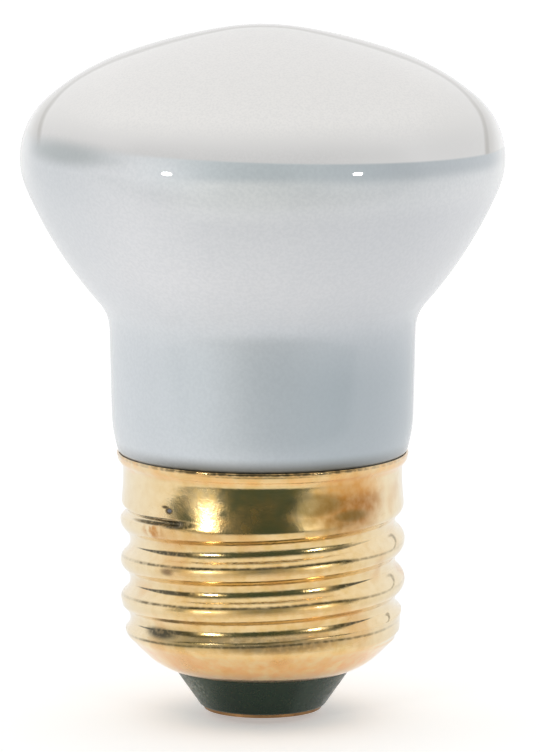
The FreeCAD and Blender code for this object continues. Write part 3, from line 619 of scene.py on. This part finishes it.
def brassMaterial():
    # Rolled cartridge brass sheet, bright dipped and lacquered: pale gold, with orange
    # tarnish in patches, a few stains, and crests rubbed dull in sockets and testers.
    s = shell
    material, tree = newMaterial("rolledBrass")
    fields = placeFields(tree, s["mottles"])
    fields["tarnish"] = share(tree, fields, s["tarnish"])
    threadFields(tree, fields)
    fields["heat"] = share(tree, fields, s["heat"])
    fields["heatTint"] = layWashes(tree, fields, s["heatLow"], {"high": s["heatHigh"]})
    fields["paintedDarkReflection"] = combine(tree, fields, "MAXIMUM", *s["paintedDarkReflection"])
    fields["speck"] = combine(tree, fields, "MAXIMUM", *s["speck"])
    for index, scuff in enumerate(s["scuffs"]):
        fields["scuff%d" % index] = scuffField(tree, fields, *scuff)
    fields["haze"] = combine(tree, fields, "MAXIMUM", ["heat"], [s["haze"]])
    relief = combine(tree, fields, "ADD", ["relief"], ["fineRelief", s["fineReliefShare"]])
    giveSurface(tree, {
        **s["surface"], "Base Color": layWashes(tree, fields, s["colour"], s["washes"]),
        "Coat Weight": share(tree, fields, s["coat"]),
        "Roughness": combine(tree, fields, "ADD", *s["roughness"]),
        "Normal": addNode(tree, "Bump", {
            "Strength": s["reliefStrength"], "Distance": s["reliefHeight"] * mm, "Height": relief})})
    return material


# base insulator

insulator = {
    # the ring in the shell's mouth: its bore, top, seat on the shell's curl, and outer cone
    "bore": (1.33, 4.2), "top": 6.9, "topInner": 6.0, "curl": (6.54, 10.5), "seat": 5.96,
    "mouth": 8.35, "shoulder": ((8.35, 4.45), (8.2, 4.45), (5.95, 1.22)), "edgeRound": 0.5,
    "face": (5.62, 0.95),
    "topPoints": (8, 6, 3), "seatPoints": 12, "shoulderPoints": (2, 2, 30), "edgePoints": 8,
    "facePoints": (12, 8), "columns": 200,
    "mottles": {"cloud": (3.0, 3.0), "chip": (0.3, 3.0), "polish": (0.7, 3.0)},
    "colour": "#091c0e",
    "washes": {
        "cloud": ("#132c1a", "cloud"),
        # painted highlight: a paler streak down the front right
        "highlightStreak": ("#33443a", ("turn", math.radians(-70), math.radians(-58), 0.0, 0.5)),
        # painted light: the left side paler
        "left": ("#3c4a3c", ("right", -6.2, -3.4, 0.75, 0.0)),
        "chips": ("#8c9385", ((-6.7, -4.4, 3.1), (1.6, 1.6, 1.4), 0.5), ("chip", 0.5, 0.6, 0.0, 0.6))},
    "surface": {"IOR": 1.52, "Specular IOR Level": 0.28},
    "roughness": ("polish", 0.3, 0.7, 0.2, 0.38),
}


def buildInsulator(material):
    # a closed section, bore to top to seat to cone to face, carried round Z
    s = insulator
    start = (s["curl"][0] + s["seat"] * slant, s["curl"][1] - s["seat"] * slant)
    mouthDepth = math.sqrt(s["seat"] ** 2 - (s["mouth"] - s["curl"][0]) ** 2)
    mouthSeat = (s["mouth"], s["curl"][1] - mouthDepth)
    topOuter = (start[0] + s["top"] - start[1], s["top"])
    lowBore = (s["bore"][0], s["face"][1])
    ring = joinRuns(
        *lineRuns([s["bore"], (s["topInner"], s["top"]), topOuter, start], s["topPoints"]),
        arcRun(s["curl"], start, mouthSeat, s["seatPoints"]),
        *lineRuns([mouthSeat, *s["shoulder"]], s["shoulderPoints"]),
        bulgedRun(s["shoulder"][-1], s["face"], s["edgeRound"], s["edgePoints"]),
        *lineRuns([s["face"], lowBore, s["bore"]], s["facePoints"]))[:-1]
    points = gridPlaces(*roundGrid(ring, s["columns"])).reshape(-1, 3)
    faces = bandFaces(len(ring), s["columns"], closed=True).tolist()
    return addPiece("mouldedInsulator", points, faces, material, "base_insulator")


def insulatorMaterial():
    # Pressed black glass, nearly opaque with a green cast and a fire-polished gloss.
    s = insulator
    material, tree = newMaterial("blackGlass")
    fields = placeFields(tree, s["mottles"])
    fields["turn"] = addNode(tree, "Math", {
        "operation": "ARCTAN2", 0: fields["back"], 1: fields["right"]})
    giveSurface(tree, {
        **s["surface"], "Base Color": layWashes(tree, fields, s["colour"], s["washes"]),
        "Roughness": share(tree, fields, s["roughness"])})
    return material


# small metal parts and cement, which stay as CAD nodes and only get a finish

# Stamped brass, oxidised to copper brown by the solder's heat.
eyelet = {
    "material": "heatedBrass", "surface": {"Metallic": 1.0}, "grain": (1.2, 3.0),
    "colours": ("#79583a", "#a6825a"), "roughness": ("grain", 0.3, 0.7, 0.25, 0.45),
}
# Tin-lead solder, frozen from the melt: grey, dull, with a fine crystal grain.
solder = {
    "material": "tinSolder", "surface": {"Metallic": 1.0}, "crystal": 0.4,
    "colours": ("#a9aaad", "#c6c7c9"), "roughness": ("grain", 0.0, 0.8, 0.32, 0.5),
}
# Basing cement: marble flour in baked resin, buff and rough with small pores.
cement = {
    "material": "basingCement", "surface": {"IOR": 1.5}, "grain": (0.4, 4.0),
    "colours": ("#b8a98a", "#d8cdb4"), "roughness": ("grain", 0.3, 0.7, 0.8, 0.95),
}
# Copper-clad lead wire, drawn: faint lines along it and a dull oxide.
leadWire = {
    "material": "copperCladWire", "surface": {"Metallic": 1.0}, "grain": (0.2, 2.0, 1, 1, 20),
    "colours": ("#a8673f", "#d69a6c"), "roughness": ("grain", 0.3, 0.7, 0.3, 0.5),
}


def grainMaterial(look):
    # two colours and a roughness that follow one grain, cloudy or of crystals
    material, tree = newMaterial(look["material"])
    fields = placeFields(tree, {"grain": look["grain"]} if "grain" in look else {})
    if "crystal" in look:
        fields["grain"] = addNode(tree, "TexVoronoi", {
            "Vector": fields["place"], "Scale": 1 / look["crystal"]}, "Distance")
    dark, light = look["colours"]
    giveSurface(tree, {
        **look["surface"], "Base Color": layWashes(tree, fields, dark, {"light": (light, "grain")}),
        "Roughness": share(tree, fields, look["roughness"])})
    return material


def dress(node, material):
    # a CAD node that stays gets its finish in its own slots
    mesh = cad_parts[node].data
    mesh.materials.clear()
    mesh.materials.append(material)


buildGlass(glassMaterial())
print("glass built")
buildShell(brassMaterial())
print("screw shell built")
buildInsulator(insulatorMaterial())
print("insulator built")
dress("centre_contact", grainMaterial(eyelet))
dress("centre_solder", grainMaterial(solder))
dress("base_cement", grainMaterial(cement))
wireFinish = grainMaterial(leadWire)
dress("centre_lead_wire", wireFinish)
dress("side_lead_wire", wireFinish)
print("small parts dressed")


# studio: distances in mm

studio = {
    "cameraPlace": (0.68, -503.4, 107.7), "cameraPitch": 81.404, "lens": 264.93, "sensor": 36.0,
    "clip": (10, 10000),
    "floorRadius": 900, "floorPoints": 96, "floorSurface": {"Roughness": 0.9, "Specular IOR Level": 0.0},
    "floorColour": "#f4f4f4", "floorFar": "#46544b", "floorFarRange": ("back", -85, -40),
    # the table's own glow, as the camera and as other rays see it, and what it adds close under
    # the bulb where metal and glass mirror it
    "floorSeen": 0.36, "floorGlow": 0.18, "nearGlow": ("reach", 10, 32, 0.19, 0.0),
    "strobeTurn": 45, "strobeRise": 4.5, "strobeDistance": 1000, "strobeSize": 84,
    "strobePower": (2.3, 1.7), "strobeBase": 52, "strobeAim": 35,
    # full white behind the bulb and overhead, dim where the camera stands
    "white": "#ffffff", "mirroredWhite": "#f9f9f9", "dim": "#435147",
    "dimFront": ("across", -0.34, -0.12, 1.0, 0.0), "dimLevel": ("level", 0.42, 0.78, 1.0, 0.0),
}


def addFloor():
    # a pale round table top: its height is the lowest point of the bulb
    s = studio
    rim = np.array([[s["floorRadius"] * mm, 0.0]])
    points = gridPlaces(*roundGrid(rim, s["floorPoints"])).reshape(-1, 3)
    mesh = bpy.data.meshes.new("tableTop")
    mesh.from_pydata(points.tolist(), [], [list(range(len(points)))])
    floor = bpy.data.objects.new("tableTop", mesh)
    bpy.context.scene.collection.objects.link(floor)
    material, tree = newMaterial("paleTable")
    fields = placeFields(tree, {})
    rays = addNode(tree, "LightPath").node.outputs
    fields["glossy"] = rays["Is Glossy Ray"]
    fields["reach"] = addNode(tree, "VectorMath", {"operation": "LENGTH", 0: fields["place"]}, "Value")
    fields["mirrored"] = layWashes(tree, fields, s["floorFar"], {
        "near": (s["floorColour"], s["floorFarRange"])})
    colour = layWashes(tree, fields, s["floorColour"], {"mirrored": ("mirrored", "glossy")})
    glow = combine(tree, fields, "ADD", [s["nearGlow"], "glossy"], [s["floorGlow"]])
    strength = addNode(tree, "Mix", {
        "data_type": "FLOAT", 0: rays["Is Camera Ray"], 2: glow, 3: s["floorSeen"]})
    giveSurface(tree, {**s["floorSurface"], "Base Color": colour, "Emission Color": colour,
                       "Emission Strength": strength})
    mesh.materials.append(material)


def addStrobe(name, side, power):
    # a round soft box at one side (-1 left, 1 right) that faces the bulb
    s = studio
    turn, rise = math.radians(s["strobeTurn"]), math.radians(s["strobeRise"])
    place = (side * s["strobeDistance"] * math.sin(turn) * math.cos(rise),
             -s["strobeDistance"] * math.cos(turn) * math.cos(rise),
             s["strobeBase"] + s["strobeDistance"] * math.sin(rise))
    data = bpy.data.lights.new(name, "AREA")
    data.shape = "DISK"
    data.size = s["strobeSize"] * mm
    data.energy = power
    lamp = bpy.data.objects.new(name, data)
    bpy.context.scene.collection.objects.link(lamp)
    lamp.location = [p * mm for p in place]
    way = np.array([0, 0, s["strobeAim"]]) - np.array(place)
    lamp.rotation_euler = (math.acos(-way[2] / np.linalg.norm(way)), 0, math.atan2(-way[0], way[1]))


def addWorld():
    # a white studio that metal and glass see dimmed round the camera
    s = studio
    world = bpy.data.worlds.new("whiteStudio")
    bpy.context.scene.world = world
    world.use_nodes = True
    tree = world.node_tree
    tree.nodes.clear()
    way = addNode(tree, "TexCoord", None, "Generated")
    parts = addNode(tree, "SeparateXYZ", {0: way}).node.outputs
    fields = {"across": parts["Y"], "seen": addNode(tree, "LightPath", None, "Is Camera Ray"),
              "level": addNode(tree, "Math", {"operation": "ABSOLUTE", 0: parts["Z"]})}
    fields["unseen"] = combine(tree, fields, "SUBTRACT", [1.0], ["seen"])
    colour = layWashes(tree, fields, s["mirroredWhite"], {
        "seen": (s["white"], "seen"),
        "dim": (s["dim"], s["dimFront"], s["dimLevel"], "unseen")})
    addNode(tree, "OutputWorld", {
        "Surface": addNode(tree, "Background", {"Strength": 1.0, "Color": colour})})


def addCamera():
    # a long lens half a metre in front of the bulb, looking down by 8.6 degrees
    s = studio
    data = bpy.data.cameras.new("photoCamera")
    data.lens, data.sensor_width, data.sensor_fit = s["lens"], s["sensor"], "AUTO"
    data.clip_start, data.clip_end = (reach * mm for reach in s["clip"])
    seer = bpy.data.objects.new("photoCamera", data)
    bpy.context.scene.collection.objects.link(seer)
    seer.location = [p * mm for p in s["cameraPlace"]]
    seer.rotation_euler = (math.radians(s["cameraPitch"]), 0, 0)
    bpy.context.scene.camera = seer


addFloor()
addStrobe("strobe1", -1, studio["strobePower"][0])
addStrobe("strobe3", 1, studio["strobePower"][1])
addWorld()
addCamera()
print("studio ready")
